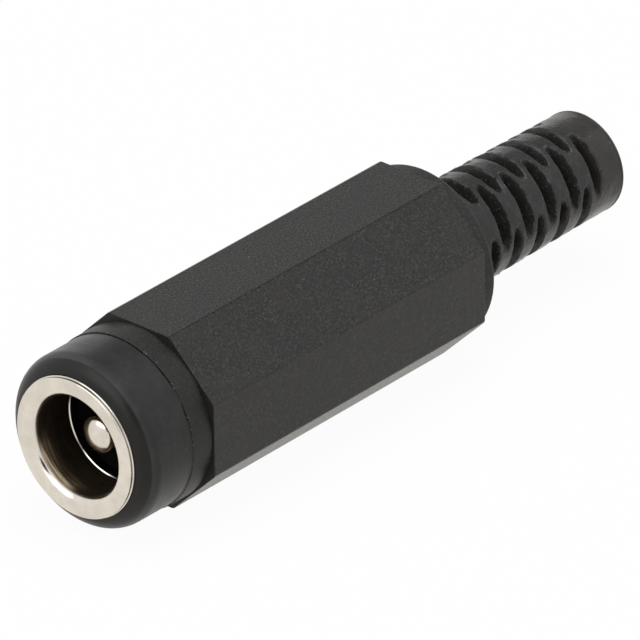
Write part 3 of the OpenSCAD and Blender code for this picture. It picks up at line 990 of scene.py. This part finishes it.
class SOCKET_OT_bend_relief(bpy.types.Operator):
    """Turned bend relief, drawn in by the slots' formula, with worn edges and shallow dents"""

    bl_idname = "socket.bend_relief"
    bl_label = "Bend relief"

    def execute(self, context):
        relief = context.scene.socket_relief
        cover = context.scene.socket_cover
        bore = mount("cable_entry")["dims"]["r_mm"] * MM
        end = CAD_BOX[1].x - MOUTH.x
        section = relief_section(relief, bore, cover.grip_rear, end)
        piece = turn_section("bend_relief", section, relief.steps_round)
        edge_wear = [0.0] * len(piece.data.vertices)
        slot_depth = [0.0] * len(piece.data.vertices)
        for vertex in piece.data.vertices:
            along, radius = polar(vertex)
            if relief.root + relief.wear < along < end - relief.tip_round and radius > relief.slot_floor:
                place = vertex.co - MOUTH
                turn = math.atan2(place.z, place.y)
                ragged = relief.raggedness * space_noise.noise(vertex.co / relief.ragged_size)
                cut, worn = slotted_radius(relief, along, turn, radius, ragged)
                burr = relief.burr * max(space_noise.noise(vertex.co / relief.burr_size), 0.0)
                scale = (cut + burr * worn - dent_depth(relief, vertex.co)) / radius
                edge_wear[vertex.index] = worn
                slot_depth[vertex.index] = (radius - cut) / (radius - relief.slot_floor)
                vertex.co = MOUTH + Vector((place.x, place.y * scale, place.z * scale))
        for name, values in (("edge_wear", edge_wear), ("slot_depth", slot_depth)):
            piece.data.attributes.new(name, "FLOAT", "POINT").data.foreach_set("value", values)
        bpy.ops.object.shade_smooth_by_angle(angle=cover.smooth_angle)
        finish_piece(piece, None, frame["nodes"]["grip_cover"].material_slots[0].material)
        return {"FINISHED"}


# Nose


def seam_closed(nose, place):
    """How far the seam is closed at a place on the nose's rear rim: 0 is open, 1 is closed."""
    turn = math.atan2(place.z - MOUTH.z, place.y - MOUTH.y)
    closed = nose.closed_mean + nose.closed_swing * math.cos(turn - nose.closed_side)
    closed += nose.closed_patches * space_noise.noise(place / nose.seam_patch)
    return min(max(closed, 0.0), 1.0)


class SOCKET_OT_nose_body(bpy.types.Operator):
    """Nose whose rear rim closes part of the seam to the cover"""

    bl_idname = "socket.nose_body"
    bl_label = "Nose"

    def execute(self, context):
        nose = context.scene.socket_nose
        material = nose_finish(context.scene.socket_finish)
        set_finish("nose_body", material)
        piece = copy_of_node("nose_body", "nose_moulding")
        for vertex in piece.data.vertices:
            along, radius = polar(vertex)
            if abs(along - nose.rear) < WELD and radius > nose.seat_radius + WELD:
                place = vertex.co - MOUTH
                closed = seam_closed(nose, vertex.co)
                scale = 1.0 + nose.rim_rise * closed / radius
                along += nose.seam_gap * closed
                vertex.co = MOUTH + Vector((along, place.y * scale, place.z * scale))
        shade_evenly(piece, context.scene.socket_cover.smooth_angle)
        finish_piece(piece, "nose_body", material)
        return {"FINISHED"}


# Mouth bush

# The rim's rounding starts past the corner that leads to it
RIM_START = -80


def bush_section(bush):
    """Closed half section of the bush, from the bore's land round the flange and back."""
    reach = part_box("mouth_bush")[1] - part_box("mouth_bush")[0]
    flange = reach.y / 2
    face = flange - bush.rim_step
    relief = bush.bore_radius + bush.relief
    relief_at = bush.land + bush.relief
    tube = relief + bush.wall
    tail = relief - bush.tail_step
    tail_at = reach.x - bush.tail
    lip = bush.lip_round
    edge = bush.flange_round
    section = arc((bush.bore_radius + lip, lip), lip, 180, 270)
    section += arc((face - edge, edge), edge, -90, 0)
    section += [(face, bush.rim_at)]
    section += arc((face, bush.rim_at + bush.rim_step), bush.rim_step, RIM_START, 0)
    section += [(flange, bush.flange_thickness), (tube, bush.flange_thickness)]
    section += [(tube, reach.x), (tail, reach.x), (tail, tail_at), (relief, tail_at - bush.tail_step)]
    for k in reversed(range(bush.marks)):
        mark = relief_at + (k + 1) * bush.mark_pitch
        for step in (1, 0, -1):
            depth = bush.mark_depth * (1 - abs(step))
            section.append((relief + depth, mark + step * bush.mark_depth))
    section += [(relief, relief_at), (bush.bore_radius, bush.land)]
    return section


class SOCKET_OT_mouth_bush(bpy.types.Operator):
    """Turned mouth bush with a rounded lip and fine cutting marks"""

    bl_idname = "socket.mouth_bush"
    bl_label = "Mouth bush"

    def execute(self, context):
        bush = context.scene.socket_bush
        material = bush_finish(context.scene.socket_finish)
        set_finish("mouth_bush", material)
        piece = turn_section("turned_bush", bush_section(bush), bush.turn_steps)
        bpy.ops.object.shade_smooth_by_angle(angle=bush.smooth_angle)
        finish_piece(piece, "mouth_bush", material)
        return {"FINISHED"}


# Contacts


class SOCKET_OT_contacts(bpy.types.Operator):
    """Pin with a smooth dome, and the finish of the tags, the spring and the washer"""

    bl_idname = "socket.contacts"
    bl_label = "Contacts"

    def execute(self, context):
        settings = context.scene.socket_finish
        tags = tag_finish(settings)
        pin = pin_finish(settings)
        for node, material in (
                ("sleeve_tag", tags), ("pin_tag", tags), ("centre_pin", pin),
                ("sleeve_spring", spring_finish(settings)), ("insulating_washer", washer_finish(settings))):
            set_finish(node, material)
        piece = copy_of_node("centre_pin", "domed_pin")
        bpy.ops.object.shade_smooth_by_angle(angle=context.scene.socket_cover.smooth_angle)
        finish_piece(piece, "centre_pin", pin)
        return {"FINISHED"}


# Panel and registration


class SOCKET_PT_panel(bpy.types.Panel):
    """Lists the socket's steps and settings"""

    bl_idname = "SOCKET_PT_panel"
    bl_label = "In-line DC Socket"
    bl_space_type = "VIEW_3D"
    bl_region_type = "UI"
    bl_category = "Socket"

    def draw(self, context):
        layout = self.layout
        for operator in OPERATORS:
            layout.operator(operator.bl_idname)
        for name in SETTINGS:
            group = getattr(context.scene, name)
            box = layout.box()
            for prop in group.bl_rna.properties:
                if prop.identifier not in ("rna_type", "name"):
                    box.prop(group, prop.identifier)


OPERATORS = (
    SOCKET_OT_stage, SOCKET_OT_grip_cover, SOCKET_OT_bend_relief, SOCKET_OT_nose_body,
    SOCKET_OT_mouth_bush, SOCKET_OT_contacts)
SETTINGS = {
    "socket_view": PhotoView,
    "socket_stage": StageSettings,
    "socket_finish": FinishSettings,
    "socket_cover": CoverSettings,
    "socket_relief": ReliefSettings,
    "socket_nose": NoseSettings,
    "socket_bush": BushSettings,
}


def register():
    """Registers the settings, operators and panel."""
    for name, group in SETTINGS.items():
        bpy.utils.register_class(group)
        setattr(bpy.types.Scene, name, bpy.props.PointerProperty(type=group))
    for cls in (*OPERATORS, SOCKET_PT_panel):
        bpy.utils.register_class(cls)


def unregister():
    """Takes them all out again."""
    for cls in reversed((*OPERATORS, SOCKET_PT_panel)):
        bpy.utils.unregister_class(cls)
    for name, group in SETTINGS.items():
        delattr(bpy.types.Scene, name)
        bpy.utils.unregister_class(group)


def main():
    """Dresses the socket."""
    register()
    bpy.ops.socket.stage()
    bpy.ops.socket.grip_cover()
    bpy.ops.socket.bend_relief()
    bpy.ops.socket.nose_body()
    bpy.ops.socket.mouth_bush()
    bpy.ops.socket.contacts()


if __name__ == "__main__":
    main()
